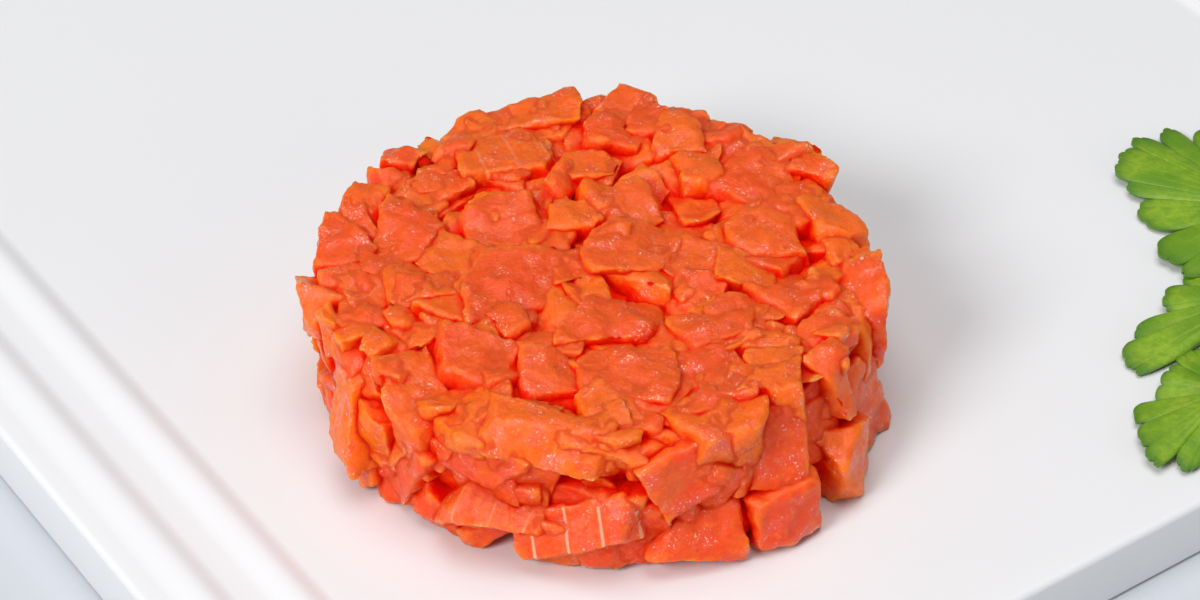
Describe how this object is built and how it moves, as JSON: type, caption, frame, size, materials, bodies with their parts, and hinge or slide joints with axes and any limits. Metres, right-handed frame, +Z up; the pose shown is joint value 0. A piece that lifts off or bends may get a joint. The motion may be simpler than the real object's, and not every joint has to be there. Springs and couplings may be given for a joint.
{
  "type": "salmon tartare on a plate",
  "caption": "Round pressed cake of chopped raw salmon on a flat white rectangular serving plate, with a sprig of flat-leaf parsley.",
  "frame": {"origin": "the middle of the plate's underside", "axes": "+Z up, +X along the plate's long side, +Y along its short side"},
  "size_m": [0.26, 0.24, 0.0386],
  "materials": {
    "white_plate": "satin white glaze",
    "salmon": "moist raw fish",
    "parsley_leaf": "fresh leaf"
  },
  "bodies": {
    "root": {"plate": "white_plate", "salmon_tartare": "salmon", "parsley": "parsley_leaf"}
  },
  "joints": []
}
